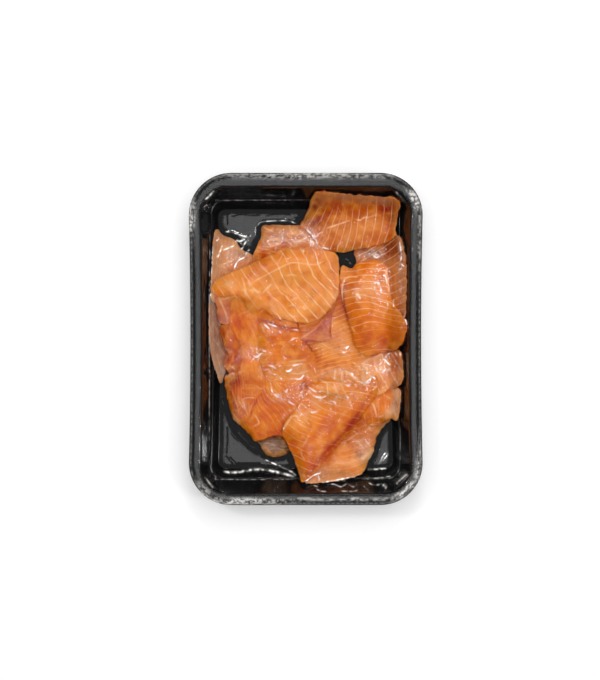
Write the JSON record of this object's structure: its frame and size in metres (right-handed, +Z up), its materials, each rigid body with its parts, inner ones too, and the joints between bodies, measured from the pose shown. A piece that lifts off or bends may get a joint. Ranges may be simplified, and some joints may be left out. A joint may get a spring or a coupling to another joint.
{
  "type": "pack of smoked salmon",
  "caption": "Shallow rounded black tray holding an uneven heap of orange salmon trimmings under a clear skin film sealed to its flange.",
  "frame": {"origin": "middle of the underside, on the surface the tray stands on", "axes": "+Y along the tray's long side, +X along its short side, +Z up out of the open face"},
  "size_m": [0.138, 0.196, 0.0282],
  "materials": {
    "tray_black": "glossy black formed plastic",
    "film_clear": "clear glossy skin film with fine wrinkles",
    "orange_flesh": "moist translucent orange salmon with pale lines",
    "pale_flesh": "moist pale salmon near the belly",
    "rose_flesh": "moist pink membrane and thin salmon",
    "brown_flesh": "moist grey-brown flesh from beside the skin",
    "fat": "moist cream fat"
  },
  "bodies": {
    "root": {"tray": "tray_black", "film": "film_clear", "scrap_dark": "brown_flesh", "fat_strip": "fat", "trim_pale": "pale_flesh", "strip_right": "orange_flesh", "slice_under": "orange_flesh", "trim_side": "rose_flesh", "trim_top": "pale_flesh", "fold_left": "orange_flesh", "band_middle": "orange_flesh", "trim_fringe": "pale_flesh", "trim_low_right": "pale_flesh", "fold_middle": "rose_flesh", "flap_left": "rose_flesh", "slice_tail": "orange_flesh", "slice_right": "orange_flesh", "membrane_flap": "rose_flesh", "edge_low": "pale_flesh", "slice_low_left": "orange_flesh", "slice_centre": "orange_flesh", "slice_low": "orange_flesh"}
  },
  "joints": []
}
